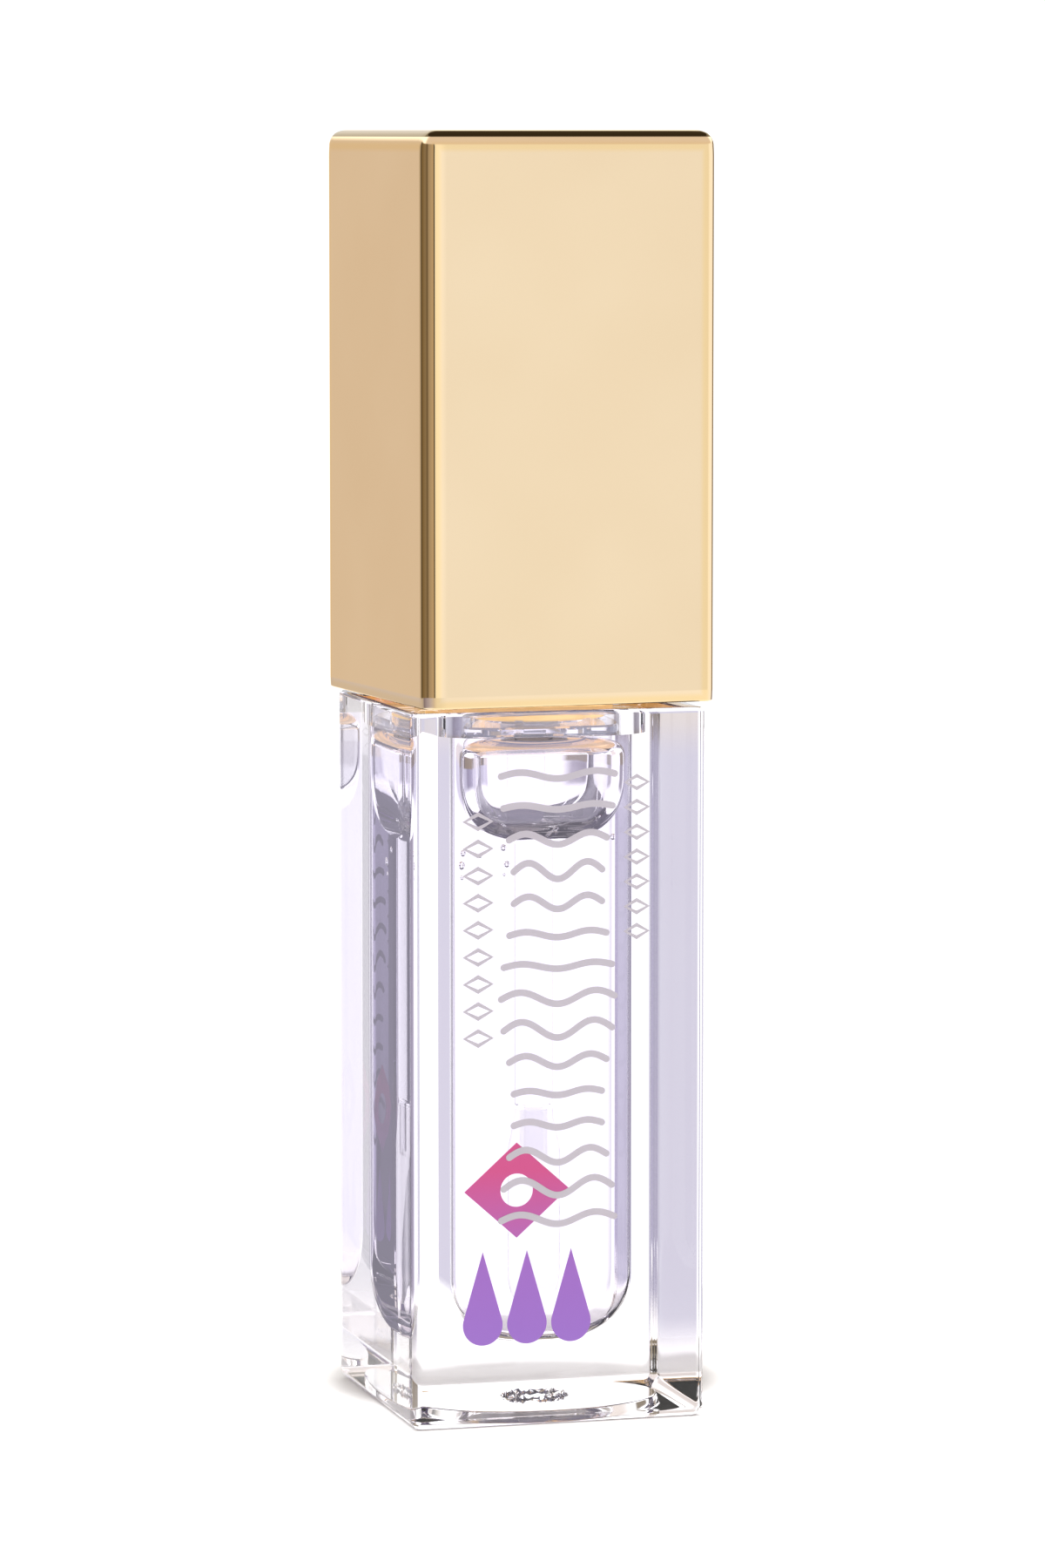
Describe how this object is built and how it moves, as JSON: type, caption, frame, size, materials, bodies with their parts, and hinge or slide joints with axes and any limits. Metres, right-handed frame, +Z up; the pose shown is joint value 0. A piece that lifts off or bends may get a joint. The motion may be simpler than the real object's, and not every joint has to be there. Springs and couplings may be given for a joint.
{
  "type": "lip gloss tube",
  "caption": "Square heavy-walled clear gloss bottle with a tall metallised screw cap that carries a wand down through a wiper.",
  "frame": {"origin": "centre of the bottle's base, on the surface it stands on", "axes": "+Z up along the tube, towards the cap; the bottle's front face looks along -Y"},
  "size_m": [0.0216, 0.0216, 0.0847],
  "materials": {
    "clear_plastic": "polished, clear heavy-wall plastic",
    "gold_shell": "metallised champagne gold over plastic, mirror-like",
    "gold_inner": "metallised gold over plastic, satin",
    "natural_plastic": "soft translucent natural plastic",
    "foam": "closed-cell white foam",
    "clear_rod": "polished clear plastic",
    "flock": "short white flocking",
    "gloss": "clear viscous gloss"
  },
  "bodies": {
    "bottle": {"bottle_body": "clear_plastic", "neck_insert": "clear_plastic", "wiper": "natural_plastic", "gloss_fill": "gloss"},
    "washer": {"seal_washer": "foam"},
    "cap": {"cap_shell": "gold_shell", "inner_cap": "gold_inner", "stem": "clear_rod", "applicator_tip": "flock"}
  },
  "joints": [
    {"name": "cap_pull", "type": "slide", "parent": "bottle", "child": "washer", "axis": [0, 0, 1], "range_m": [0, 0.06]},
    {"name": "cap_turn", "type": "hinge", "parent": "washer", "child": "cap", "pos_m": [0, 0, 0.05], "axis": [0, 0, 1], "range_deg": [-4.5, 540]}
  ]
}
